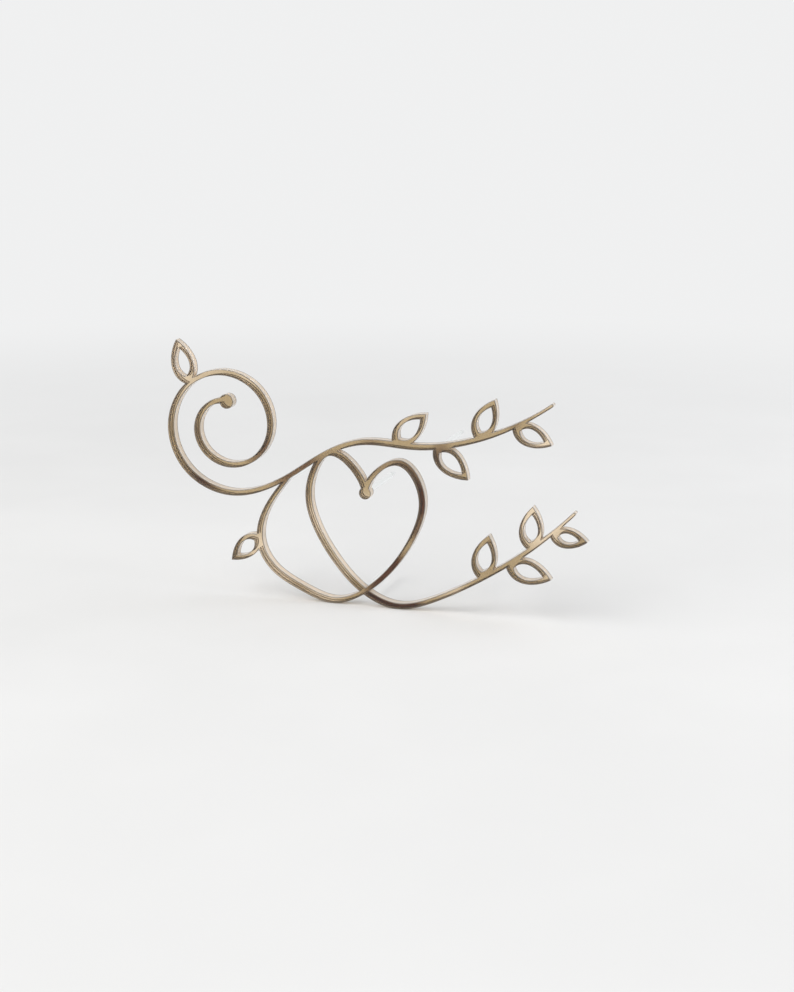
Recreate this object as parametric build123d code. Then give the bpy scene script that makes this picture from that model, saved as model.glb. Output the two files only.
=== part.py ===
from build123d import *
import os
from math import ceil, pi, sin

# A cake topper that is fixed to the front of a cake, in millimetres. A flat openwork plate is cut from
# mirror acrylic and stands off the icing on clear pegs bonded to its back. +X runs to the right as the
# plate is looked at, +Z is up and +Y goes into the cake. The origin is on the middle peg's axis, in the
# plane where the pegs enter the icing.

# Size of the plate's drawing
PLATE_WIDTH = 140.0
PLATE_HEIGHT = 84.0

# Mirror acrylic sheet: the whole thickness, then the reflecting layer and the paint on its back
SHEET_THICKNESS = 3.0
MIRROR_THICKNESS = 0.10
COAT_THICKNESS = 0.15

# Pen strokes: thin along the nib's slant, thick across it, fine at a free end and where one leaves another
STROKE_THIN = 1.6
STROKE_THICK = 2.3
STROKE_TIP = 1.0
STROKE_BRANCH = 1.5
NIB_SLANT = 35.0
TAPER_LENGTH = 26.0
SPANS_IN_STROKE = 8
STATIONS_IN_SPAN = 10

# Volute at the left end of the upper stem
VOLUTE_OUTER_RADIUS = 22.0
VOLUTE_INNER_RADIUS = 8.0
VOLUTE_TURNS = 1.5
VOLUTE_POINTS_IN_TURN = 8

# Round buds at the volute's inner end and in the heart's cleft
VOLUTE_BUD_DIAMETER = 4.8
CLEFT_BUD_DIAMETER = 4.0

# Leaves drawn in outline
LEAF_LENGTH = 15.0
LEAF_WIDTH = 7.4
LEAF_LINE = 1.35

# Pegs that push into the cake, and the adhesive that bonds each of them to the plate
STANDOFF = 4.5
PEG_DIAMETER = 2.0
PEG_LENGTH = 30.0
PEG_POINT_LENGTH = 6.0
PEG_TIP_DIAMETER = 0.6
GLUE_DIAMETER = 2.6
GLUE_THICKNESS = 0.3

# Places on the drawing, as shares of the plate's width from its left and of its height from its bottom
VOLUTE_CENTRE_SHARES = (0.153, 0.680)
BRANCH_SHARES = (0.305, 0.500)
FORK_SHARES = (0.287, 0.4745)
UPPER_STEM_SHARES = [
    (0.385, 0.588),
    (0.478, 0.648),
    (0.600, 0.643),
    (0.715, 0.668),
    (0.828, 0.738),
    (0.915, 0.826),
]
HEART_TIP_SHARES = (0.486, 0.066)
HEART_CLEFT_SHARES = (0.488, 0.452)
WAY_IN_SHARES = [
    (0.262, 0.406),
    (0.235, 0.315),
    (0.231, 0.222),
    (0.262, 0.130),
    (0.330, 0.060),
    (0.414, 0.019),
]
RIGHT_SIDE_SHARES = [(0.557, 0.178), (0.611, 0.333), (0.621, 0.463), (0.568, 0.578), (0.511, 0.530)]
LEFT_SIDE_SHARES = [(0.464, 0.540), (0.407, 0.600), (0.354, 0.470), (0.364, 0.333), (0.418, 0.178)]
WAY_OUT_SHARES = [(0.557, 0.019), (0.657, 0.060), (0.757, 0.149), (0.868, 0.275), (0.970, 0.430)]

# Leaves on each stem: share of the stem's length, turn from its heading in degrees, share of full size
UPPER_LEAF_SHARES = [(0.790, 48, 1.0), (0.842, -48, 1.0), (0.896, 48, 0.95), (0.944, -48, 0.9)]
WAY_IN_LEAF_SHARES = [(0.170, -48, 0.9)]
WAY_OUT_LEAF_SHARES = [(0.750, 48, 1.0), (0.815, -48, 1.0), (0.875, 48, 0.95), (0.930, -48, 0.8)]

# The volute's leaf: share of a turn in from its bottom, turn from the outward direction, share of full size
VOLUTE_LEAF_SHARES = (0.372, -32, 1.0)

# A leaf blade's curve: how far along the blade and how far out its two pulls sit
BLADE_FOOT_SHARES = (0.20, 0.78)
BLADE_TIP_SHARES = (0.68, 0.62)


def at(x_share, z_share):
    """A place on the drawing, measured from the drawing's middle."""
    return Vector((x_share - 0.5) * PLATE_WIDTH, (z_share - 0.5) * PLATE_HEIGHT)


def places(shares):
    return [at(*pair) for pair in shares]


# Centre lines of the pen strokes
def volute_angle(turns):
    """Direction from the volute's centre, so many turns in from where it ends at its bottom."""
    return 270 - 360 * turns


def volute_point(turns):
    radius = VOLUTE_OUTER_RADIUS - (VOLUTE_OUTER_RADIUS - VOLUTE_INNER_RADIUS) * turns / VOLUTE_TURNS
    return at(*VOLUTE_CENTRE_SHARES) + Vector(radius, 0).rotate(Axis.Z, volute_angle(turns))


def volute_points():
    """The volute from its inner end to its bottom, where it heads right as the upper stem."""
    count = ceil(VOLUTE_TURNS * VOLUTE_POINTS_IN_TURN)
    return [volute_point(VOLUTE_TURNS * (count - step) / count) for step in range(count + 1)]


def upper_path():
    """The volute, then the upper stem away to the right."""
    return Spline(*volute_points(), at(*BRANCH_SHARES), *places(UPPER_STEM_SHARES))


def way_in_path():
    """From the branch to under the heart, up its right side and into its cleft."""
    before = [at(*BRANCH_SHARES), *places(WAY_IN_SHARES)]
    after = [*places(RIGHT_SIDE_SHARES), at(*HEART_CLEFT_SHARES)]
    return Spline(*before, at(*HEART_TIP_SHARES), *after)


def way_out_path():
    """From the cleft down the heart's left side, across its tip and away to the right."""
    before = [at(*HEART_CLEFT_SHARES), *places(LEFT_SIDE_SHARES)]
    return Spline(*before, at(*HEART_TIP_SHARES), *places(WAY_OUT_SHARES))


def heading(path, share):
    """Direction of a path at a share of its length, in degrees from +X."""
    return Vector(1, 0).get_signed_angle(path % share, Vector(0, 0, 1))


# Pen strokes, buds and leaves
def eased(share):
    share = min(max(share, 0), 1)
    return share * share * (3 - 2 * share)


def stroke_width(path, share, start, end):
    """Pen width at a share of a path's length. start and end are its fine ends' widths, or None."""
    slant = abs(sin((heading(path, share) - NIB_SLANT) * pi / 180))
    width = STROKE_THIN + (STROKE_THICK - STROKE_THIN) * slant
    for fine, run in ((start, share), (end, 1 - share)):
        if fine:
            width = fine + (width - fine) * eased(run * path.length / TAPER_LENGTH)
    return width


def stroke_span(path, span, start, end):
    """One of the spans that a pen stroke is cut into, so that no face crosses itself."""
    left = []
    right = []
    for station in range(STATIONS_IN_SPAN + 1):
        share = (span + station / STATIONS_IN_SPAN) / SPANS_IN_STROKE
        across = (path % share).rotate(Axis.Z, 90) * (stroke_width(path, share, start, end) / 2)
        left.append(path @ share + across)
        right.append(path @ share - across)
    ends = [Line(left[0], right[0]), Line(left[-1], right[-1])]
    return make_face([Spline(*left), Spline(*right), *ends]).face()


def disc(centre, diameter):
    return (Pos(centre) * Circle(diameter / 2)).face()


def pen_stroke(path, start=None, end=None):
    """Faces of a whole pen stroke. A fine end is rounded."""
    faces = [stroke_span(path, span, start, end) for span in range(SPANS_IN_STROKE)]
    if end:
        faces.append(disc(path @ 1, end))
    return faces


def leaf_blade(length, width):
    """A pointed blade along +X."""
    foot_along, foot_out = BLADE_FOOT_SHARES
    tip_along, tip_out = BLADE_TIP_SHARES
    sides = []
    for side in (1, -1):
        foot_pull = (length * foot_along, side * width * foot_out)
        tip_pull = (length * tip_along, side * width * tip_out)
        sides.append(Bezier((0, 0), foot_pull, tip_pull, (length, 0)))
    return make_face(sides)


def leaf(foot, direction, size):
    """A leaf in outline with its foot on a stem."""
    length = LEAF_LENGTH * size
    width = LEAF_WIDTH * size
    opening = Pos(2 * LEAF_LINE, 0) * leaf_blade(length - 4 * LEAF_LINE, width - 2 * LEAF_LINE)
    outline = leaf_blade(length, width) - opening
    return (Pos(foot) * Rot(0, 0, direction) * outline).face()


def stem_leaves(path, rows):
    return [leaf(path @ share, heading(path, share) + turn, size) for share, turn, size in rows]


def volute_leaf():
    turns, turn, size = VOLUTE_LEAF_SHARES
    return leaf(volute_point(turns), volute_angle(turns) + turn, size)


# The plate and its three layers
def plate_outline():
    """The whole drawing as one connected face, with the middle peg's seat at its origin."""
    upper = upper_path()
    way_in = way_in_path()
    way_out = way_out_path()
    faces = pen_stroke(upper, end=STROKE_TIP)
    faces += pen_stroke(way_in, start=STROKE_BRANCH)
    faces += pen_stroke(way_out, end=STROKE_TIP)
    faces += stem_leaves(upper, UPPER_LEAF_SHARES)
    faces += stem_leaves(way_in, WAY_IN_LEAF_SHARES)
    faces += stem_leaves(way_out, WAY_OUT_LEAF_SHARES)
    faces.append(volute_leaf())
    faces.append(disc(upper @ 0, VOLUTE_BUD_DIAMETER))
    faces.append(disc(at(*HEART_CLEFT_SHARES), CLEFT_BUD_DIAMETER))
    return Pos(-at(*HEART_CLEFT_SHARES)) * (Sketch() + faces)


def layer(outline, back, thickness):
    """One layer of the plate. back is how far its rear face stands in front of the icing."""
    return Pos(0, -back, 0) * extrude(Plane.XZ * outline, thickness)


def plate_layers():
    outline = plate_outline()
    mirror_back = STANDOFF + COAT_THICKNESS
    face_back = mirror_back + MIRROR_THICKNESS
    return {
        "face_sheet": layer(outline, face_back, SHEET_THICKNESS - COAT_THICKNESS - MIRROR_THICKNESS),
        "mirror_film": layer(outline, mirror_back, MIRROR_THICKNESS),
        "back_coat": layer(outline, STANDOFF, COAT_THICKNESS),
    }


# Pegs and their adhesive
def leaf_seat(path, share, turn, size):
    """The solid foot of a leaf, which hides a peg."""
    return path @ share + Vector(LEAF_LINE * size, 0).rotate(Axis.Z, heading(path, share) + turn)


def peg_seats():
    """Where each peg stands on the drawing."""
    return {
        "centre": at(*HEART_CLEFT_SHARES),
        "left": at(*FORK_SHARES),
        "bottom": at(*HEART_TIP_SHARES),
        "upper_right": leaf_seat(upper_path(), *UPPER_LEAF_SHARES[1]),
        "lower_right": leaf_seat(way_out_path(), *WAY_OUT_LEAF_SHARES[1]),
    }


def turned(profile, seat, foot):
    """A round piece along +Y at a peg's seat, from its half profile. foot is where it starts."""
    place = seat - at(*HEART_CLEFT_SHARES)
    piece = revolve(Plane.XZ * make_face(Polyline(*profile, close=True)), Axis.Z)
    return Pos(place.X, foot, place.Y) * Rot(-90, 0, 0) * piece


def peg(seat):
    radius = PEG_DIAMETER / 2
    tip = PEG_TIP_DIAMETER / 2
    shank = PEG_LENGTH - PEG_POINT_LENGTH
    profile = [(0, 0), (radius, 0), (radius, shank), (tip, PEG_LENGTH), (0, PEG_LENGTH)]
    return turned(profile, seat, GLUE_THICKNESS - STANDOFF)


def glue(seat):
    radius = GLUE_DIAMETER / 2
    profile = [(0, 0), (radius, 0), (radius, GLUE_THICKNESS), (0, GLUE_THICKNESS)]
    return turned(profile, seat, -STANDOFF)


def pieces():
    """Every piece by its node name."""
    made = plate_layers()
    for name, seat in peg_seats().items():
        made["peg_" + name] = peg(seat)
        made["glue_" + name] = glue(seat)
    return made


os.makedirs("parts", exist_ok=True)
for name, piece in pieces().items():
    export_step(piece, "parts/" + name + ".step")
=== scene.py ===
from math import cos, pi, radians, sin

import bmesh
import bpy
import numpy as np
from bpy.props import FloatProperty, FloatVectorProperty, PointerProperty
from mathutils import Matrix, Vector
from mathutils.geometry import delaunay_2d_cdt
from mathutils.kdtree import KDTree


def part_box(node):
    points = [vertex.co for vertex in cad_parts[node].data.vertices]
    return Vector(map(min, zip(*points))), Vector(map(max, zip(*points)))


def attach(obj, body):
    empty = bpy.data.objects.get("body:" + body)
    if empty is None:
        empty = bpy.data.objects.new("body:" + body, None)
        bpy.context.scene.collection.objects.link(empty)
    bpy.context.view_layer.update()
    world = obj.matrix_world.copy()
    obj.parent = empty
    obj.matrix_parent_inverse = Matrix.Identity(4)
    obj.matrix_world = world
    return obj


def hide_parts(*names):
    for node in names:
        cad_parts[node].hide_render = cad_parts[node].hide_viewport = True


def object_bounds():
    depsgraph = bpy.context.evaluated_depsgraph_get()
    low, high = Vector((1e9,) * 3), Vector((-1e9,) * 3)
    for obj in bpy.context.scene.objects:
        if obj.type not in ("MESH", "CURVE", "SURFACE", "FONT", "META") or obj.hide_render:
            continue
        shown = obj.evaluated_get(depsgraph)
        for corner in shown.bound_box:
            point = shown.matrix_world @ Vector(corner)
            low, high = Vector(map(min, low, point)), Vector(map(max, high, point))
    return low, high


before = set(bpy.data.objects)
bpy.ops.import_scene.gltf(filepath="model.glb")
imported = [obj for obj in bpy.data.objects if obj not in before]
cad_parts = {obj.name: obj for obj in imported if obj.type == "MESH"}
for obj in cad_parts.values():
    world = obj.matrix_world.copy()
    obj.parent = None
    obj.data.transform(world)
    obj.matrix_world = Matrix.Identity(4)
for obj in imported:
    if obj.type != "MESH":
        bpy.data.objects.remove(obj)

bl_info = {
    "name": "Mirror acrylic cake topper",
    "version": (1, 0, 0),
    "blender": (4, 5, 0),
    "location": "3D View > Sidebar > Topper",
    "description": "Dresses the packed cake topper: mirror sheet, back paint, pegs and glue",
    "category": "Add Mesh",
}

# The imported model's box, its nodes and the frame's units
CAD_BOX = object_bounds()
MM = 0.001
PEG_PLACES = ("centre", "left", "bottom", "upper_right", "lower_right")
SHEET_LOW, SHEET_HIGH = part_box("face_sheet")
FILM_LOW, FILM_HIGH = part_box("mirror_film")
COAT_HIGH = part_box("back_coat")[1]
PEG_LOW, PEG_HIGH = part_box("peg_centre")
GLUE_LOW, GLUE_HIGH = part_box("glue_centre")
PEG_RADIUS = (PEG_HIGH.x - PEG_LOW.x) / 2
GLUE_RADIUS = (GLUE_HIGH.x - GLUE_LOW.x) / 2

# The photograph's frame in pixels
PHOTO_WIDTH = 794
PHOTO_HEIGHT = 992


def number(label, note, default, **more):
    """A number that the user can change."""
    return FloatProperty(name=label, description=note, default=default, precision=5, **more)


def length(label, note, default):
    """A length in metres that the user can change."""
    return number(label, note, default, min=0.0, unit="LENGTH")


def colour(label, note, default):
    """A linear colour that the user can change."""
    return FloatVectorProperty(name=label, description=note, default=default, size=3,
                               min=0.0, max=1.0, subtype="COLOR")


class PlateSettings(bpy.types.PropertyGroup):
    """Sizes and colours of the cut plate."""

    outline_step: length("Outline step", "Spacing of points along the cut", 0.45 * MM)
    edge_round: length("Edge round", "Radius melted on the front edge by the cutter", 0.22 * MM)
    film_inset: length("Mirror inset", "How far the mirror stops short of the cut", 0.17 * MM)
    film_sink: length("Mirror sink", "How far the mirror stands into the acrylic", 0.04 * MM)
    coat_gap: length("Paint gap", "Gap that keeps the paint clear of the acrylic", 0.01 * MM)
    paint_step: length("Paint step", "Spacing of points over the paint", 0.42 * MM)
    scorch_width: length("Scorch width", "Width of the browned line beside the cut", 0.34 * MM)
    acrylic_tint: colour("Acrylic tint", "Colour of light through the sheet", (0.96, 0.87, 0.74))
    mirror_colour: colour("Mirror colour", "Colour of the vapour-coated mirror",
                          (0.50, 0.405, 0.255))
    # Painted reflections: the mirror's colour is darkened around one place and in random patches,
    # and lightened in others, in place of what the mirror reflects
    dark_reflection_place: FloatVectorProperty(name="Deep place", description="Centre of the painted dark reflection",
                                    default=(0.018, -0.0047, -0.009), size=3, precision=4,
                                    subtype="TRANSLATION")
    dark_reflection_reach: length("Deep reach", "How far the painted dark reflection reaches", 44.0 * MM)
    painted_dark_reflection: colour("Deep mirror", "Painted dark reflection", (0.095, 0.032, 0.010))
    painted_pale_reflection: colour("Pale mirror", "Painted pale reflection", (0.93, 0.83, 0.69))
    paint_colour: colour("Paint colour", "Protective paint on the back", (0.36, 0.34, 0.31))
    wall_colour: colour("Wall colour", "Frosted laser-cut wall", (1.0, 0.89, 0.75))
    # Painted reflection: the wall turns amber near the mirror in place of the mirror's gold seen
    # in the edge
    wall_painted_reflection: colour("Wall amber", "The wall near the mirror", (0.97, 0.75, 0.50))
    # The scorch colour also paints the shade line on the front rim of the walls
    scorch_and_shade_colour: colour("Scorch colour", "Paint browned by the cut", (0.055, 0.030, 0.015))


class PegSettings(bpy.types.PropertyGroup):
    """Sizes and colours of the pegs and their glue."""

    radius: length("Peg radius", "Radius of the rod", PEG_RADIUS)
    point_length: length("Point length", "Length of the turned point", 6.0 * MM)
    tip_radius: length("Tip radius", "Radius of the blunt tip", 0.3 * MM)
    foot_chamfer: length("Foot chamfer", "Chamfer on the glued end", 0.12 * MM)
    turning_pitch: length("Turning pitch", "Spacing of the tool marks on the point", 0.30 * MM)
    turning_depth: length("Turning depth", "Depth of the tool marks", 0.004 * MM)
    collar_height: length("Collar height", "How far the glue climbs the rod", 0.6 * MM)
    collar_uneven: number("Collar unevenness", "Share by which the glue line wanders", 0.10)
    rod_colour: colour("Rod colour", "Colour of light through the rods", (0.965, 0.985, 0.98))
    glue_colour: colour("Glue colour", "Colour of light through the glue", (0.96, 0.94, 0.87))


class StageSettings(bpy.types.PropertyGroup):
    """Camera, floor and light."""

    azimuth: number("View azimuth", "How far the camera stands to the right", radians(18.0),
                    subtype="ANGLE")
    elevation: number("View elevation", "Height of the line of sight", radians(12.9),
                      subtype="ANGLE")
    distance: length("View distance", "From the camera to the plate's middle", 0.518)
    lens: number("Lens", "Focal length in millimetres", 59.2, subtype="NONE")
    column: number("Image column", "Where the plate's middle falls, in pixels", 371.5)
    row: number("Image row", "Where the plate's middle falls, in pixels", 479.0)
    floor_colour: colour("Floor colour", "Pale floor", (0.84, 0.84, 0.835))
    backdrop_colour: colour("Backdrop colour", "Pale surroundings", (0.87, 0.873, 0.875))
    floor_radius: length("Floor radius", "Radius of the floor", 4.0)


class Link:
    """A node's output. Arithmetic on it adds Math nodes to its tree."""

    def __init__(self, graph, socket):
        self.graph = graph
        self.socket = socket

    def __add__(self, other):
        return self.graph.math("ADD", self, other)

    def __radd__(self, other):
        return self.graph.math("ADD", other, self)

    def __sub__(self, other):
        return self.graph.math("SUBTRACT", self, other)

    def __rsub__(self, other):
        return self.graph.math("SUBTRACT", other, self)

    def __mul__(self, other):
        return self.graph.math("MULTIPLY", self, other)

    def __rmul__(self, other):
        return self.graph.math("MULTIPLY", other, self)

    def __truediv__(self, other):
        return self.graph.math("DIVIDE", self, other)

    def __rtruediv__(self, other):
        return self.graph.math("DIVIDE", other, self)

    def __pow__(self, other):
        return self.graph.math("POWER", self, other)

    def __rpow__(self, other):
        return self.graph.math("POWER", other, self)


NOISE_MIDDLE = 0.5

# A Mix node's colour sockets, by number
MIX_FIRST = 6
MIX_SECOND = 7
MIX_RESULT = 2


class Graph:
    """A node tree of a material, a world or a geometry modifier."""

    def __init__(self, tree):
        self.tree = tree

    def node(self, kind, settings=None, sockets=None, output=0):
        """Adds a node, sets it, then fills or links its sockets, and gives one output."""
        made = self.tree.nodes.new(kind)
        for name, value in (settings or {}).items():
            setattr(made, name, value)
        for name, value in (sockets or {}).items():
            socket = made.inputs[name]
            if isinstance(value, Link):
                self.tree.links.new(value.socket, socket)
            else:
                socket.default_value = value
        return Link(self, made.outputs[output]) if len(made.outputs) else None

    def math(self, operation, *values, clamp=False):
        """A Math node on links and numbers."""
        settings = {"operation": operation, "use_clamp": clamp}
        return self.node("ShaderNodeMath", settings, dict(enumerate(values)))

    def between(self, value, start, end):
        """Rises smoothly from 0 at start to 1 at end."""
        settings = {"interpolation_type": "SMOOTHSTEP"}
        return self.node("ShaderNodeMapRange", settings,
                         {"Value": value, "From Min": start, "From Max": end})

    def mix(self, share, first, second):
        """A colour between two, by share."""
        sockets = {"Factor": share, MIX_FIRST: opaque(first), MIX_SECOND: opaque(second)}
        return self.node("ShaderNodeMix", {"data_type": "RGBA"}, sockets, output=MIX_RESULT)

    def noise(self, vector, scale, detail=2.0, roughness=0.5):
        """Smooth noise from 0 to 1."""
        sockets = {"Vector": vector, "Scale": scale, "Detail": detail, "Roughness": roughness}
        return self.node("ShaderNodeTexNoise", None, sockets)

    def stretched(self, vector, scale):
        """A vector scaled by a different number on each axis."""
        sockets = {0: vector, 1: scale}
        return self.node("ShaderNodeVectorMath", {"operation": "MULTIPLY"}, sockets)

    def axis(self, vector, name):
        """One axis of a vector: X, Y or Z."""
        return self.node("ShaderNodeSeparateXYZ", None, {0: vector}, output=name)

    def place(self):
        """Object coordinates."""
        return self.node("ShaderNodeTexCoord", output="Object")

    def attribute(self, name):
        """A number stored on the mesh."""
        return self.node("ShaderNodeAttribute", {"attribute_name": name}, output="Fac")

    def bump(self, height):
        """A normal from a height in metres."""
        return self.node("ShaderNodeBump", None,
                         {"Strength": 1.0, "Distance": 1.0, "Height": height})


def opaque(value):
    """A colour with its alpha, or a link as it is."""
    if isinstance(value, Link):
        return value
    return (*value, 1.0)


def fresh_graph(owner):
    """The emptied node tree of a material or a world."""
    owner.use_nodes = True
    owner.node_tree.nodes.clear()
    return Graph(owner.node_tree)


def surface(name, build):
    """A material whose principled shader takes its sockets from build."""
    material = bpy.data.materials.new(name)
    graph = fresh_graph(material)
    shader = graph.node("ShaderNodeBsdfPrincipled", None, build(graph))
    graph.node("ShaderNodeOutputMaterial", None, {"Surface": shader})
    return material


# Finish of the sheet's face
ACRYLIC_IOR = 1.491
FACE_ROUGHNESS = 0.012
FACE_SWELL = 0.10 * MM
SMUDGE_RANGE = (0.5, 0.8)
SMUDGE_ROUGHNESS = 0.035


def tinted_acrylic(plate):
    """Clear, lightly tinted sheet with a polished face."""
    def build(graph):
        place = graph.place()
        swell = graph.noise(place, scale=45.0, detail=1.0)
        smudge = graph.noise(place, scale=90.0, detail=4.0, roughness=0.62)
        smeared = graph.between(smudge, *SMUDGE_RANGE)
        return {
            "Base Color": opaque(plate.acrylic_tint),
            "Roughness": smeared * SMUDGE_ROUGHNESS + FACE_ROUGHNESS,
            "Normal": graph.bump(swell * FACE_SWELL),
            "IOR": ACRYLIC_IOR,
            "Transmission Weight": 1.0,
        }
    return surface("tinted_acrylic", build)


# Finish of the cut walls. Stripes are counted per metre along the cut and through the sheet
COARSE_STRIPES = (900.0, 60.0, 1.0)
COARSE_HEIGHT = 0.0016 * MM
FINE_STRIPES = (3600.0, 110.0, 1.0)
FINE_HEIGHT = 0.0006 * MM
WALL_ROUGHNESS = 0.29
STRIPE_ROUGHNESS = 0.08
# The amber towards the mirror is a painted reflection of the mirror's gold
MIRROR_REFLECTION_RANGE = (0.5 * MM, 2.9 * MM)
MIRROR_REFLECTION_SHARE = 0.6
MIRROR_REFLECTION_WANDER = 0.3

# The painted shade on the front rim, a dark line, which starts and ends at these shares of the
# edge's round
RIM_START = 0.5
RIM_END = 2.0
RIM_SHADE_SHARE = 0.85
RIM_WANDER = 0.06 * MM


def cut_wall(plate):
    """Laser-cut wall of the sheet: striped, lightly frosted under a gloss, with a painted shade
    line on the front rim and an amber painted reflection of the mirror towards the back.
    """
    def build(graph):
        along = graph.node("ShaderNodeUVMap", {"uv_map": "Cut"})
        coarse = graph.noise(graph.stretched(along, COARSE_STRIPES), scale=1.0)
        fine = graph.noise(graph.stretched(along, FINE_STRIPES), scale=1.0, detail=3.0,
                           roughness=0.6)
        uneven = coarse - NOISE_MIDDLE
        depth = graph.axis(along, "Y") - SHEET_LOW.y
        # Painted shade: a near-black line along the melted front rim stands in for the dark
        # outline that the cut edge shows
        smoke_and_shade = 1 - graph.between(depth + uneven * RIM_WANDER, plate.edge_round * RIM_START,
                                   plate.edge_round * RIM_END)
        # Painted reflection: amber towards the back of the wall, near the mirror
        amber = graph.between(depth, *MIRROR_REFLECTION_RANGE) * MIRROR_REFLECTION_SHARE + uneven * MIRROR_REFLECTION_WANDER
        clean = graph.mix(amber, plate.wall_colour, plate.wall_painted_reflection)
        return {
            "Base Color": graph.mix(smoke_and_shade * RIM_SHADE_SHARE, clean, plate.scorch_and_shade_colour),
            "Roughness": WALL_ROUGHNESS + fine * STRIPE_ROUGHNESS,
            "Normal": graph.bump(coarse * COARSE_HEIGHT + fine * FINE_HEIGHT),
            "IOR": ACRYLIC_IOR,
            "Transmission Weight": 0.5,
            "Coat Weight": 1.0,
            "Coat Roughness": 0.06,
            "Coat IOR": 1.5,
        }
    return surface("cut_wall", build)


# Finish of the mirror, with its painted dark and pale reflections
DARK_REFLECTION_CORE = 6.0 * MM
DARK_REFLECTION_PULL = 0.15
DARK_REFLECTION_RANGE = (0.35, 0.45)
PALE_REFLECTION_RANGE = (0.47, 0.62)
MIRROR_ROUGHNESS = 0.015
GRAIN_ROUGHNESS = 0.03
RIPPLE_HEIGHT = 0.10 * MM


def mirror_metal(plate):
    """Vapour-coated mirror seen through the sheet, its colour painted with dark and pale
    reflections.
    """
    def build(graph):
        place = graph.place()
        # Painted reflections: a dark patch around one place, plus dark and pale patches elsewhere,
        # stand in for what the mirror reflects
        away = graph.node("ShaderNodeVectorMath", {"operation": "DISTANCE"},
                          {0: place, 1: plate.dark_reflection_place}, output="Value")
        near = 1 - graph.between(away, DARK_REFLECTION_CORE, plate.dark_reflection_reach)
        reflection_drift = graph.noise(place, scale=27.0) - near * DARK_REFLECTION_PULL
        grain = graph.noise(place, scale=900.0, roughness=0.6)
        ripple = graph.noise(place, scale=60.0, detail=1.0)
        pale_reflected = graph.mix(graph.between(reflection_drift, *PALE_REFLECTION_RANGE), plate.mirror_colour,
                         plate.painted_pale_reflection)
        return {
            "Base Color": graph.mix(graph.between(reflection_drift, *DARK_REFLECTION_RANGE), plate.painted_dark_reflection, pale_reflected),
            "Metallic": 1.0,
            "Roughness": MIRROR_ROUGHNESS + grain * GRAIN_ROUGHNESS,
            "Normal": graph.bump(ripple * RIPPLE_HEIGHT),
        }
    return surface("mirror_metal", build)


# Finish of the back paint, and the brown and the haze beside the cut
PAINT_DIM = 0.84
PAINT_PALE = 1.14
PAINT_RANGE = (0.3, 0.7)
PAINT_ROUGHNESS = 0.46
CLOUD_SHARE = 0.6
SPECK_SHARE = 0.4
SPECK_ROUGHNESS = 0.16
SPECK_HEIGHT = 0.004 * MM
PEEL_HEIGHT = 0.02 * MM
SCORCH_SHARE = 0.9
SCORCH_WANDER = 0.22 * MM
SCORCH_ROUGHNESS = 0.15
HAZE_RANGE = (0.1 * MM, 1.1 * MM)
HAZE_SHARE = 0.35
HAZE_WANDER = 0.8 * MM


def back_paint(plate):
    """Matt protective paint with roller texture, browned beside the cut."""
    def build(graph):
        place = graph.place()
        gap = graph.attribute("edge_gap")
        wander = graph.noise(place, scale=700.0, detail=3.0, roughness=0.6) - NOISE_MIDDLE
        browned = 1 - graph.between(gap + wander * SCORCH_WANDER, 0.0, plate.scorch_width)
        haze = 1 - graph.between(gap + wander * HAZE_WANDER, *HAZE_RANGE)
        cloud = graph.noise(place, scale=60.0, detail=4.0, roughness=0.6)
        speck = graph.noise(place, scale=2600.0)
        peel = graph.noise(place, scale=1500.0)
        dim = [level * PAINT_DIM for level in plate.paint_colour]
        pale = [min(1.0, level * PAINT_PALE) for level in plate.paint_colour]
        mottle = graph.between(cloud * CLOUD_SHARE + speck * SPECK_SHARE, *PAINT_RANGE)
        smoke_and_shade = graph.mix(haze * HAZE_SHARE, graph.mix(mottle, dim, pale), plate.scorch_and_shade_colour)
        return {
            "Base Color": graph.mix(browned * SCORCH_SHARE, smoke_and_shade, plate.scorch_and_shade_colour),
            "Roughness": PAINT_ROUGHNESS + speck * SPECK_ROUGHNESS + browned * SCORCH_ROUGHNESS,
            "Normal": graph.bump(peel * PEEL_HEIGHT + speck * SPECK_HEIGHT),
            "IOR": 1.47,
        }
    return surface("back_paint", build)


# Finish of the rods. Lines are counted per metre on each axis
DRAWN_LINES = (2600.0, 40.0, 2600.0)
DRAWN_HEIGHT = 0.003 * MM
DRAWN_ROUGHNESS = 0.05
SHANK_ROUGHNESS = 0.015
FROST_LINES = (260.0, 5200.0, 260.0)
FROST_HEIGHT = 0.006 * MM
FROST_ROUGHNESS = 0.26
POINT_ROUGHNESS = 0.24


def clear_rod(pegs):
    """Clear acrylic rod, drawn along its length and frosted where it was turned."""
    def build(graph):
        place = graph.place()
        turned = graph.attribute("turned")
        drawn = graph.noise(graph.stretched(place, DRAWN_LINES), scale=1.0, detail=3.0,
                            roughness=0.6)
        frost = graph.noise(graph.stretched(place, FROST_LINES), scale=1.0, roughness=0.6)
        shank = SHANK_ROUGHNESS + drawn * DRAWN_ROUGHNESS
        point = POINT_ROUGHNESS + frost * FROST_ROUGHNESS
        return {
            "Base Color": opaque(pegs.rod_colour),
            "Roughness": shank + (point - shank) * turned,
            "Normal": graph.bump(drawn * DRAWN_HEIGHT + frost * turned * FROST_HEIGHT),
            "IOR": ACRYLIC_IOR,
            "Transmission Weight": 1.0,
        }
    return surface("clear_rod", build)


# Finish of the glue
GLUE_ROUGHNESS = 0.06
CLOUDY_RANGE = (0.4, 0.75)
CLOUDY_ROUGHNESS = 0.22
LUMP_HEIGHT = 0.03 * MM
PIT_HEIGHT = 0.006 * MM


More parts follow.
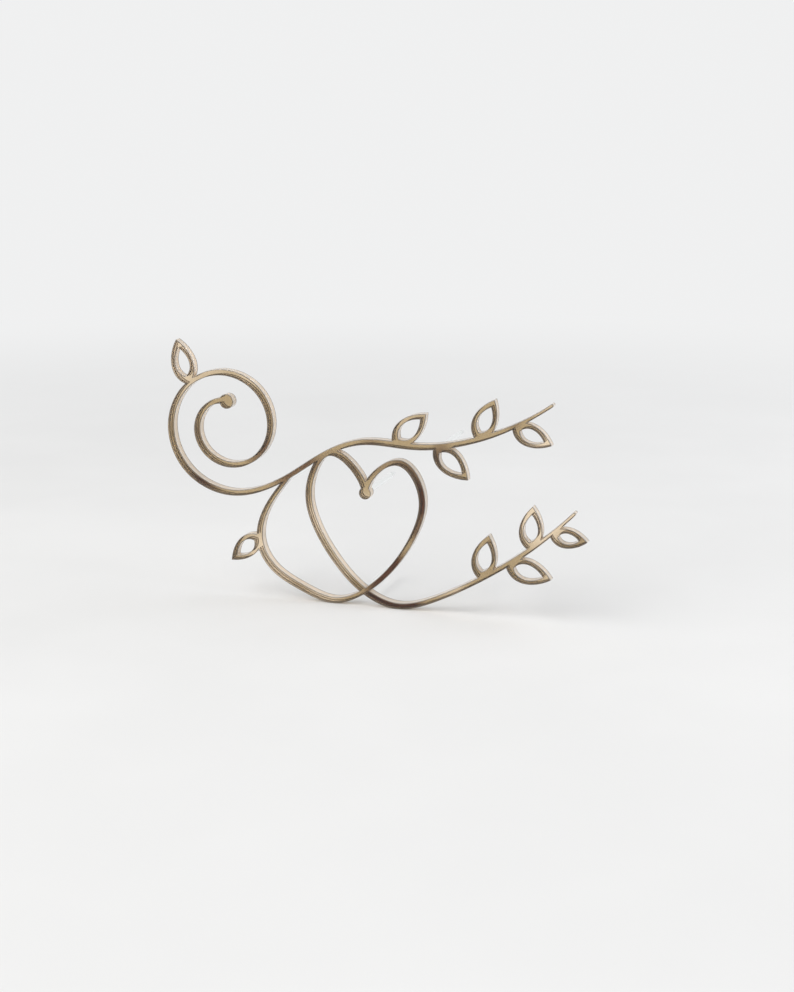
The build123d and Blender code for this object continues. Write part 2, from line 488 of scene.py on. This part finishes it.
def clear_glue(pegs):
    """Set clear glue, a little cloudy and uneven."""
    def build(graph):
        place = graph.place()
        cloud = graph.noise(place, scale=900.0, detail=3.0, roughness=0.55)
        pits = graph.noise(place, scale=3400.0)
        cloudy = graph.between(cloud, *CLOUDY_RANGE)
        return {
            "Base Color": opaque(pegs.glue_colour),
            "Roughness": GLUE_ROUGHNESS + cloudy * CLOUDY_ROUGHNESS,
            "Normal": graph.bump(cloud * LUMP_HEIGHT + pits * PIT_HEIGHT),
            "IOR": 1.47,
            "Transmission Weight": 1.0,
        }
    return surface("clear_glue", build)


# The plate's outline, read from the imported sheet
CORNER_TURN = radians(20.0)
MERGE_DISTANCE = 1e-7
FACING = -0.99


def cut_lines():
    """The sheet's cut lines as loops of (x, z), the material on the left of each."""
    shape = bmesh.new()
    shape.from_mesh(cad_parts["face_sheet"].data)
    bmesh.ops.remove_doubles(shape, verts=shape.verts, dist=MERGE_DISTANCE)
    following = {}
    for face in shape.faces:
        if face.normal.y > FACING:
            continue
        for corner in face.loops:
            across = [other for other in corner.edge.link_faces if other is not face]
            if across and across[0].normal.y > FACING:
                following[corner.vert] = corner.link_loop_next.vert
    loops = []
    while following:
        start = next(iter(following))
        loop = [start]
        vertex = following.pop(start)
        while vertex is not start:
            loop.append(vertex)
            vertex = following.pop(vertex)
        loops.append(np.array([(vertex.co.x, vertex.co.z) for vertex in loop]))
    shape.free()
    if not loops:
        raise RuntimeError("The packed sheet has no front outline")
    return loops


def unit(vectors):
    """Rows scaled to length 1."""
    return vectors / np.linalg.norm(vectors, axis=1, keepdims=True)


def smooth_loop(points, step):
    """A loop resampled on smooth curves between its corners, and which points are corners."""
    leaving = np.roll(points, -1, axis=0) - points
    span = np.linalg.norm(leaving, axis=1)
    chord = leaving / span[:, None]
    arriving = np.roll(chord, 1, axis=0)
    span_before = np.roll(span, 1)
    cross = arriving[:, 0] * chord[:, 1] - arriving[:, 1] * chord[:, 0]
    turn = np.arctan2(cross, np.sum(arriving * chord, axis=1))
    corner = np.abs(turn) > CORNER_TURN
    slope = arriving * span[:, None] + chord * span_before[:, None]
    slope /= (span + span_before)[:, None]
    samples = []
    corners = []
    count = len(points)
    for here in range(count):
        there = (here + 1) % count
        start_slope = slope[here]
        end_slope = slope[there]
        if corner[here] and corner[there]:
            start_slope = end_slope = chord[here]
        elif corner[here]:
            start_slope = 2 * chord[here] - end_slope
        elif corner[there]:
            end_slope = 2 * chord[here] - start_slope
        pieces = max(1, int(np.ceil(span[here] / step)))
        share = (np.arange(pieces) / pieces)[:, None]
        rest = 1 - share
        samples.append(points[here] * (1 + 2 * share) * rest ** 2
                       + points[there] * (3 - 2 * share) * share ** 2
                       + start_slope * span[here] * share * rest ** 2
                       - end_slope * span[here] * rest * share ** 2)
        corners += [bool(corner[here])] + [False] * (pieces - 1)
    return np.concatenate(samples), np.array(corners)


MITRE_LIMIT = 1.8
SMALLEST_OPENING = 0.05


def inward(points):
    """For each point of a loop, the move that takes it one unit into the material."""
    chord = unit(np.roll(points, -1, axis=0) - points)
    after = np.stack([-chord[:, 1], chord[:, 0]], axis=1)
    before = np.roll(after, 1, axis=0)
    opening = 1 + np.sum(after * before, axis=1, keepdims=True)
    move = (after + before) / np.maximum(opening, SMALLEST_OPENING)
    size = np.linalg.norm(move, axis=1, keepdims=True)
    return move * np.minimum(1.0, MITRE_LIMIT / size)


def inside(points, loops):
    """Which points lie in the material, by counting the cut lines to their right."""
    found = np.zeros(len(points), dtype=bool)
    for loop in loops:
        ahead = np.roll(loop, -1, axis=0)
        for (x_here, z_here), (x_there, z_there) in zip(loop, ahead):
            if z_here == z_there:
                continue
            spans = (points[:, 1] >= z_here) != (points[:, 1] >= z_there)
            share = (points[:, 1] - z_here) / (z_there - z_here)
            found ^= spans & (points[:, 0] < x_here + share * (x_there - x_here))
    return found


TRIANGULATE_UNIT = 1000.0
TRIANGULATE_SNAP = 1e-6


def triangles(loops, extra):
    """Triangles that fill the loops, on the loops' points followed by the extra points."""
    points = np.concatenate([*loops, extra])
    edges = []
    first = 0
    for loop in loops:
        count = len(loop)
        edges += [(first + index, first + (index + 1) % count) for index in range(count)]
        first += count
    flat = [Vector(point) for point in points * TRIANGULATE_UNIT]
    made = delaunay_2d_cdt(flat, edges, [], 0, TRIANGULATE_SNAP)
    origin = [sources[0] if sources else -1 for sources in made[3]]
    if -1 in origin:
        raise RuntimeError("The cut lines cross one another")
    filled = np.array([[origin[index] for index in face] for face in made[2]])
    corners = points[filled]
    middle = corners.mean(axis=1)
    filled = filled[inside(middle, loops)]
    corners = points[filled]
    first_side = corners[:, 1] - corners[:, 0]
    last_side = corners[:, 2] - corners[:, 0]
    area = first_side[:, 0] * last_side[:, 1] - first_side[:, 1] * last_side[:, 0]
    filled[area < 0] = filled[area < 0][:, ::-1]
    return filled[area != 0]


CLEAR_SHARE = 0.45


def scattered(loops, step):
    """Points on a staggered grid inside the loops, clear of the cut, and their gap to it."""
    edge = np.concatenate(loops)
    tree = KDTree(len(edge))
    for index, (x, z) in enumerate(edge):
        tree.insert((x, 0.0, z), index)
    tree.balance()
    low = edge.min(axis=0)
    high = edge.max(axis=0)
    rows = int((high[1] - low[1]) / step)
    columns = int((high[0] - low[0]) / step)
    grid = np.array([(low[0] + (column + 0.5 * (row % 2)) * step, low[1] + row * step)
                     for row in range(rows) for column in range(columns)])
    grid = grid[inside(grid, loops)]
    gaps = np.array([tree.find((x, 0.0, z))[2] for x, z in grid])
    clear = gaps > CLEAR_SHARE * step
    return grid[clear], gaps[clear]


WALL = 1


def layer_mesh(name, lines, rings, back_step=None):
    """A closed layer of the plate: rings of (inset, y) from front to back, then its two faces.

    Walls have a map of length along the cut and depth, and the second material. With
    back_step, the back face has inner points and an attribute edge_gap.
    """
    shape = bmesh.new()
    chart = shape.loops.layers.uv.new("Cut")
    gap = shape.verts.layers.float.new("edge_gap")
    moves = [inward(points) for points, _ in lines]
    outlines = []
    rows = []
    for inset, depth in rings:
        outline = [points + move * inset for (points, _), move in zip(lines, moves)]
        outlines.append(outline)
        rows.append([[shape.verts.new((x, depth, z)) for x, z in loop] for loop in outline])
    for which, (points, corners) in enumerate(lines):
        count = len(points)
        steps = np.linalg.norm(np.roll(points, -1, axis=0) - points, axis=1)
        along = np.concatenate([[0.0], np.cumsum(steps)])
        for level in range(len(rings) - 1):
            front = rows[level][which]
            back = rows[level + 1][which]
            shallow = rings[level][1]
            deep = rings[level + 1][1]
            for here in range(count):
                there = (here + 1) % count
                face = shape.faces.new((front[here], back[here], back[there], front[there]))
                face.smooth = True
                face.material_index = WALL
                marks = ((here, shallow), (here, deep), (here + 1, deep), (here + 1, shallow))
                for corner, (station, depth) in zip(face.loops, marks):
                    corner[chart].uv = (along[station], depth)
                if corners[here]:
                    shape.edges.get((front[here], back[here])).smooth = False
    nothing = np.zeros((0, 2))
    front_points = [vertex for loop in rows[0] for vertex in loop]
    for trio in triangles(outlines[0], nothing):
        shape.faces.new([front_points[index] for index in trio])
    back_points = [vertex for loop in rows[-1] for vertex in loop]
    extra = nothing
    if back_step:
        extra, gaps = scattered(outlines[-1], back_step)
        for (x, z), clear in zip(extra, gaps):
            vertex = shape.verts.new((x, rings[-1][1], z))
            vertex[gap] = clear
            back_points.append(vertex)
    for trio in triangles(outlines[-1], extra):
        shape.faces.new([back_points[index] for index in trio[::-1]])
    mesh = bpy.data.meshes.new(name)
    shape.to_mesh(mesh)
    shape.free()
    return mesh


def smooth_lines(step):
    """The sheet's cut lines, resampled, each with its corners."""
    return [smooth_loop(points, step) for points in cut_lines()]


def keep(name, mesh, materials, slot, *nodes):
    """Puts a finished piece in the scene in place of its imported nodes.

    A mesh that a tree made already holds its material, so only the missing ones are added.
    """
    for material in materials[len(mesh.materials):]:
        mesh.materials.append(material)
    piece = bpy.data.objects.new(name, mesh)
    bpy.context.scene.collection.objects.link(piece)
    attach(piece, "root")
    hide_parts(*nodes)
    return piece


EDGE_STEPS = 3


class TOPPER_OT_plate_acrylic(bpy.types.Operator):
    """Makes the acrylic sheet, with its melted front edge and laser-cut walls"""

    bl_idname = "topper.plate_acrylic"
    bl_label = "Acrylic sheet"

    def execute(self, context):
        plate = context.scene.topper_plate
        front = SHEET_LOW.y
        radius = plate.edge_round
        rings = []
        for step in range(EDGE_STEPS + 1):
            turn = pi / 2 * (1 - step / EDGE_STEPS)
            rings.append((radius * (1 - cos(turn)), front + radius * (1 - sin(turn))))
        rings.append((0.0, SHEET_HIGH.y))
        mesh = layer_mesh("plate_acrylic", smooth_lines(plate.outline_step), rings)
        materials = (tinted_acrylic(plate), cut_wall(plate))
        keep("plate_acrylic", mesh, materials, "tinted_acrylic", "face_sheet")
        return {"FINISHED"}


class TOPPER_OT_plate_mirror(bpy.types.Operator):
    """Makes the mirror on the back of the acrylic"""

    bl_idname = "topper.plate_mirror"
    bl_label = "Mirror"

    def execute(self, context):
        plate = context.scene.topper_plate
        rings = ((plate.film_inset, FILM_LOW.y - plate.film_sink),
                 (plate.film_inset, FILM_HIGH.y))
        mesh = layer_mesh("plate_mirror", smooth_lines(plate.outline_step), rings)
        metal = mirror_metal(plate)
        keep("plate_mirror", mesh, (metal, metal), "mirror_layer", "mirror_film")
        return {"FINISHED"}


class TOPPER_OT_plate_paint(bpy.types.Operator):
    """Makes the paint that protects the mirror, browned along the cut"""

    bl_idname = "topper.plate_paint"
    bl_label = "Back paint"

    def execute(self, context):
        plate = context.scene.topper_plate
        rings = ((0.0, FILM_LOW.y + plate.coat_gap), (0.0, COAT_HIGH.y))
        mesh = layer_mesh("plate_paint", smooth_lines(plate.outline_step), rings,
                          plate.paint_step)
        paint = back_paint(plate)
        keep("plate_paint", mesh, (paint, paint), "back_paint", "back_coat")
        return {"FINISHED"}


SOCKET_KINDS = {"Seat": "NodeSocketVector", "Material": "NodeSocketMaterial"}


def node_tree(name, sizes):
    """A geometry tree with named inputs, and links to them by name."""
    tree = bpy.data.node_groups.new(name, "GeometryNodeTree")
    tree.interface.new_socket("Geometry", in_out="INPUT", socket_type="NodeSocketGeometry")
    for label in sizes:
        kind = SOCKET_KINDS.get(label, "NodeSocketFloat")
        tree.interface.new_socket(label, in_out="INPUT", socket_type=kind)
    tree.interface.new_socket("Geometry", in_out="OUTPUT", socket_type="NodeSocketGeometry")
    graph = Graph(tree)
    return graph, {label: graph.node("NodeGroupInput", output=label) for label in sizes}


ROUND_SIDES = 56
SHARP_ANGLE = radians(40.0)


def lathe(graph, rings, reach, profile):
    """A round body along +Y: its radius is what profile makes of the length along it."""
    end = graph.node("ShaderNodeCombineXYZ", None, {"Y": reach})
    line = graph.node("GeometryNodeCurvePrimitiveLine", None, {"End": end})
    line = graph.node("GeometryNodeResampleCurve", None, {"Curve": line, "Count": rings})
    along = graph.node("GeometryNodeSplineParameter", output="Length")
    ring = graph.node("GeometryNodeCurvePrimitiveCircle", None,
                      {"Resolution": ROUND_SIDES, "Radius": 1.0})
    return graph.node("GeometryNodeCurveToMesh", None,
                      {"Curve": line, "Profile Curve": ring, "Scale": profile(along),
                       "Fill Caps": True})


def close_tree(graph, body, sizes):
    """Moves a body to its seat, shades it, and ends the tree."""
    body = graph.node("GeometryNodeSetPosition", None,
                      {"Geometry": body, "Offset": sizes["Seat"]})
    bend = graph.node("GeometryNodeInputMeshEdgeAngle", output="Unsigned Angle")
    sharp = graph.math("GREATER_THAN", bend, SHARP_ANGLE)
    body = graph.node("GeometryNodeSetShadeSmooth", {"domain": "EDGE"},
                      {"Geometry": body, "Selection": sharp, "Shade Smooth": False})
    body = graph.node("GeometryNodeRealizeInstances", None, {"Geometry": body})
    body = graph.node("GeometryNodeSetMaterial", None,
                      {"Geometry": body, "Material": sizes["Material"]})
    graph.node("NodeGroupOutput", None, {"Geometry": body})
    return graph.tree


PEG_RINGS = 520
TIP_BLUNTNESS = 0.94


def peg_tree():
    """The tree of a peg: chamfered foot, straight shank, turned point and rounded tip."""
    graph, sizes = node_tree("Peg", ("Radius", "Reach", "Point length", "Tip radius", "Chamfer",
                                     "Pitch", "Depth", "Seat", "Material"))
    radius = sizes["Radius"]
    reach = sizes["Reach"]
    point_start = reach - sizes["Point length"]

    def turned_share(along):
        return graph.math("GREATER_THAN", along, point_start)

    def profile(along):
        foot = radius - graph.math("MAXIMUM", sizes["Chamfer"] - along, 0.0)
        down = graph.math("DIVIDE", along - point_start, sizes["Point length"], clamp=True)
        cone = radius + (sizes["Tip radius"] - radius) * down
        marks = graph.math("SINE", along * (2 * pi) / sizes["Pitch"]) * sizes["Depth"]
        cone = cone - (marks + sizes["Depth"]) * turned_share(along)
        left = graph.math("MAXIMUM", reach - along, 0.0)
        into = graph.math("SUBTRACT", 1.0, left / sizes["Tip radius"], clamp=True)
        nose = graph.math("SQRT", 1.0 - into * into * TIP_BLUNTNESS)
        return graph.math("MINIMUM", foot, cone * nose)

    body = lathe(graph, PEG_RINGS, reach, profile)
    height = graph.axis(graph.node("GeometryNodeInputPosition"), "Y")
    body = graph.node("GeometryNodeStoreNamedAttribute",
                      {"data_type": "FLOAT", "domain": "POINT"},
                      {"Geometry": body, "Name": "turned", "Value": turned_share(height)})
    return close_tree(graph, body, sizes)


# Shape of a glue drop
GLUE_RINGS = 44
SAG_POWER = 2.6
COLLAR_SIZE = 1.035
COLLAR_TOP = 0.93
COLLAR_DRAW = 0.06
WANDER_SCALE = 520.0
SPREAD_SHARE = 2.2
LIFT_SHARE = 2.4


def glue_tree():
    """The tree of a glue drop: a spread foot on the paint that climbs the rod as a collar."""
    graph, sizes = node_tree("Glue drop", ("Foot radius", "Rod radius", "Reach", "Unevenness",
                                           "Seed", "Seat", "Material"))
    reach = sizes["Reach"]

    def profile(along):
        up = graph.math("DIVIDE", along, reach, clamp=True)
        sag = (1.0 - up) ** SAG_POWER
        top = graph.between(up, COLLAR_TOP, 1.0) * COLLAR_DRAW
        return (sizes["Rod radius"] * (COLLAR_SIZE - top)
                + (sizes["Foot radius"] - sizes["Rod radius"]) * sag)

    body = lathe(graph, GLUE_RINGS, reach, profile)
    place = graph.node("GeometryNodeInputPosition")
    across, height, upward = (graph.axis(place, name) for name in "XYZ")
    facing = graph.node("ShaderNodeCombineXYZ", None,
                        {"X": across, "Y": sizes["Seed"], "Z": upward})
    wander = graph.noise(facing, scale=WANDER_SCALE, detail=1.0) - NOISE_MIDDLE
    wander = wander * sizes["Unevenness"]
    spread = wander * SPREAD_SHARE * (1.0 - height / reach)
    lift = wander * LIFT_SHARE * height
    move = graph.node("ShaderNodeCombineXYZ", None,
                      {"X": across * spread, "Y": lift, "Z": upward * spread})
    body = graph.node("GeometryNodeSetPosition", None, {"Geometry": body, "Offset": move})
    return close_tree(graph, body, sizes)


def grow(name, tree, values):
    """Runs a tree with the values of its named inputs and gives the mesh that it makes."""
    holder = bpy.data.objects.new(name, bpy.data.meshes.new(name))
    bpy.context.scene.collection.objects.link(holder)
    modifier = holder.modifiers.new("Grow", "NODES")
    modifier.node_group = tree
    for socket in tree.interface.items_tree:
        if socket.in_out == "INPUT" and socket.name in values:
            modifier[socket.identifier] = values[socket.name]
    bpy.context.view_layer.update()
    evaluated = holder.evaluated_get(bpy.context.evaluated_depsgraph_get())
    mesh = bpy.data.meshes.new_from_object(evaluated)
    holder.modifiers.clear()
    empty = holder.data
    bpy.data.objects.remove(holder)
    bpy.data.meshes.remove(empty)
    if not mesh.polygons:
        raise RuntimeError("The tree of " + name + " made nothing")
    mesh.name = name
    return mesh


class TOPPER_OT_pegs(bpy.types.Operator):
    """Makes the five clear pegs that push into the icing"""

    bl_idname = "topper.pegs"
    bl_label = "Pegs"

    def execute(self, context):
        pegs = context.scene.topper_pegs
        tree = peg_tree()
        material = clear_rod(pegs)
        for place in PEG_PLACES:
            low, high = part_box("peg_" + place)
            seat = ((low.x + high.x) / 2, low.y, (low.z + high.z) / 2)
            values = {"Radius": pegs.radius, "Reach": high.y - low.y,
                      "Point length": pegs.point_length, "Tip radius": pegs.tip_radius,
                      "Chamfer": pegs.foot_chamfer, "Pitch": pegs.turning_pitch,
                      "Depth": pegs.turning_depth, "Seat": seat, "Material": material}
            mesh = grow("peg_rod_" + place, tree, values)
            keep("peg_rod_" + place, mesh, (material,), "clear_acrylic", "peg_" + place)
        return {"FINISHED"}


GLUE_SINK = 0.02 * MM
SEED_STEP = 0.01


class TOPPER_OT_glue(bpy.types.Operator):
    """Makes the drops of glue between the pegs and the paint"""

    bl_idname = "topper.glue"
    bl_label = "Glue drops"

    def execute(self, context):
        pegs = context.scene.topper_pegs
        tree = glue_tree()
        material = clear_glue(pegs)
        for turn, place in enumerate(PEG_PLACES):
            low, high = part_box("glue_" + place)
            seat = ((low.x + high.x) / 2, low.y - GLUE_SINK, (low.z + high.z) / 2)
            values = {"Foot radius": GLUE_RADIUS, "Rod radius": pegs.radius,
                      "Reach": high.y - low.y + pegs.collar_height,
                      "Unevenness": pegs.collar_uneven, "Seed": SEED_STEP * (turn + 1),
                      "Seat": seat, "Material": material}
            mesh = grow("glue_drop_" + place, tree, values)
            keep("glue_drop_" + place, mesh, (material,), "adhesive", "glue_" + place)
        return {"FINISHED"}


def seen_rays(graph):
    """1 for rays that show the surroundings: from the camera, off gloss or through glass."""
    kinds = ("Is Camera Ray", "Is Glossy Ray", "Is Transmission Ray")
    rays = [graph.node("ShaderNodeLightPath", output=kind) for kind in kinds]
    return graph.math("MAXIMUM", graph.math("MAXIMUM", rays[0], rays[1]), rays[2])


# The floor: its sides, its faint clouds, and where it melts into the surroundings
FLOOR_SIDES = 128
FLOOR_DIM = 0.965
FLOOR_CLOUDS = (0.3, 0.7)
FLOOR_FADE = (0.12, 0.75)


def floor_material(stage):
    """Pale matt floor that melts into the surroundings far from the object."""
    material = bpy.data.materials.new("floor")
    graph = fresh_graph(material)
    place = graph.place()
    cloud = graph.noise(place, scale=9.0, detail=3.0, roughness=0.55)
    dim = [level * FLOOR_DIM for level in stage.floor_colour]
    tone = graph.mix(graph.between(cloud, *FLOOR_CLOUDS), dim, stage.floor_colour)
    near = graph.node("ShaderNodeBsdfPrincipled", None,
                      {"Base Color": tone, "Roughness": 0.85, "Specular IOR Level": 0.2})
    away = graph.node("ShaderNodeVectorMath", {"operation": "LENGTH"}, {0: place},
                      output="Value")
    fade = graph.between(away, *FLOOR_FADE) * seen_rays(graph)
    far = graph.node("ShaderNodeEmission", None,
                     {"Color": opaque(stage.backdrop_colour), "Strength": 1.0})
    both = graph.node("ShaderNodeMixShader", None, {0: fade, 1: near, 2: far})
    graph.node("ShaderNodeOutputMaterial", None, {"Surface": both})
    return material


def make_floor(stage):
    """A wide round floor under the object."""
    shape = bmesh.new()
    bmesh.ops.create_circle(shape, cap_ends=True, segments=FLOOR_SIDES,
                            radius=stage.floor_radius)
    mesh = bpy.data.meshes.new("floor")
    bmesh.ops.translate(shape, verts=shape.verts, vec=(0.0, 0.0, CAD_BOX[0][2]))
    shape.to_mesh(mesh)
    shape.free()
    mesh.materials.append(floor_material(stage))
    floor = bpy.data.objects.new("floor", mesh)
    bpy.context.scene.collection.objects.link(floor)


AMBIENT_LIGHT = 0.42
AMBIENT_COLOUR = (0.96, 0.98, 1.0)


def make_world(stage):
    """Even pale surroundings, with softer light on the object than they show."""
    world = bpy.data.worlds.new("surroundings")
    bpy.context.scene.world = world
    graph = fresh_graph(world)
    seen = seen_rays(graph)
    shown = graph.node("ShaderNodeBackground", None,
                       {"Color": opaque(stage.backdrop_colour), "Strength": 1.0})
    lit = graph.node("ShaderNodeBackground", None,
                     {"Color": opaque(AMBIENT_COLOUR), "Strength": AMBIENT_LIGHT})
    both = graph.node("ShaderNodeMixShader", None, {0: seen, 1: lit, 2: shown})
    graph.node("ShaderNodeOutputWorld", None, {"Surface": both})


# Each lamp's name, place, side in metres, power in watts and colour
LAMPS = (
    ("key_lamp", (-0.62, -0.66, 0.82), 1.2, 11.0, (1.0, 0.98, 0.95)),
    ("rim_lamp", (0.86, 0.26, 0.42), 1.4, 10.0, (0.98, 0.98, 1.0)),
)


def make_lamp(target, name, place, side, power, tone):
    """A square soft lamp aimed at a point.

    Light that passes through clear material misses it, because a lamp there adds to the
    surroundings behind it and the pegs clip to white.
    """
    data = bpy.data.lights.new(name, "AREA")
    data.energy = power
    data.size = side
    data.color = tone
    lamp = bpy.data.objects.new(name, data)
    lamp.location = place
    lamp.rotation_euler = (Vector(target) - Vector(place)).to_track_quat("-Z", "Y").to_euler()
    lamp.visible_transmission = False
    bpy.context.scene.collection.objects.link(lamp)


SENSOR = 36.0
CLIP_START = 0.01
CLIP_END = 50.0


def make_camera(stage, target):
    """The photograph's view: the target falls on the chosen pixel, with no roll or shift."""
    data = bpy.data.cameras.new("camera")
    data.sensor_width = SENSOR
    data.lens = stage.lens
    data.clip_start = CLIP_START
    data.clip_end = CLIP_END
    pixel = SENSOR / PHOTO_HEIGHT / stage.lens
    right = (stage.column - PHOTO_WIDTH / 2) * pixel
    down = (stage.row - PHOTO_HEIGHT / 2) * pixel
    camera = bpy.data.objects.new("camera", data)
    direction = Vector((sin(stage.azimuth) * cos(stage.elevation),
                        -cos(stage.azimuth) * cos(stage.elevation), sin(stage.elevation)))
    camera.location = Vector(target) + direction * stage.distance
    camera.rotation_euler = (pi / 2 - stage.elevation + down, 0.0, stage.azimuth + right)
    bpy.context.scene.collection.objects.link(camera)
    bpy.context.scene.camera = camera


class TOPPER_OT_stage(bpy.types.Operator):
    """Makes the floor, the light and the camera"""

    bl_idname = "topper.stage"
    bl_label = "Stage"

    def execute(self, context):
        stage = context.scene.topper_stage
        middle = (SHEET_LOW + SHEET_HIGH) / 2
        make_floor(stage)
        make_world(stage)
        for lamp in LAMPS:
            make_lamp(middle, *lamp)
        make_camera(stage, middle)
        context.scene.view_settings.view_transform = "Standard"
        return {"FINISHED"}


class TOPPER_PT_panel(bpy.types.Panel):
    """Lists the topper's pieces and the stage"""

    bl_idname = "TOPPER_PT_panel"
    bl_label = "Cake topper"
    bl_space_type = "VIEW_3D"
    bl_region_type = "UI"
    bl_category = "Topper"

    def draw(self, context):
        for settings in (context.scene.topper_plate, context.scene.topper_pegs,
                         context.scene.topper_stage):
            box = self.layout.box()
            for label in settings.__annotations__:
                box.prop(settings, label)
        for operator in OPERATORS:
            self.layout.operator(operator.bl_idname)


OPERATORS = (TOPPER_OT_plate_acrylic, TOPPER_OT_plate_mirror, TOPPER_OT_plate_paint,
             TOPPER_OT_pegs, TOPPER_OT_glue, TOPPER_OT_stage)
CLASSES = (PlateSettings, PegSettings, StageSettings, *OPERATORS, TOPPER_PT_panel)


def register():
    """Adds the settings, the operators and the panel."""
    for kind in CLASSES:
        bpy.utils.register_class(kind)
    bpy.types.Scene.topper_plate = PointerProperty(type=PlateSettings)
    bpy.types.Scene.topper_pegs = PointerProperty(type=PegSettings)
    bpy.types.Scene.topper_stage = PointerProperty(type=StageSettings)


def unregister():
    """Takes them away again."""
    del bpy.types.Scene.topper_stage
    del bpy.types.Scene.topper_pegs
    del bpy.types.Scene.topper_plate
    for kind in reversed(CLASSES):
        bpy.utils.unregister_class(kind)


def main():
    """Builds every piece and the stage."""
    register()
    bpy.ops.topper.plate_acrylic()
    bpy.ops.topper.plate_mirror()
    bpy.ops.topper.plate_paint()
    bpy.ops.topper.pegs()
    bpy.ops.topper.glue()
    bpy.ops.topper.stage()


if __name__ == "__main__":
    main()
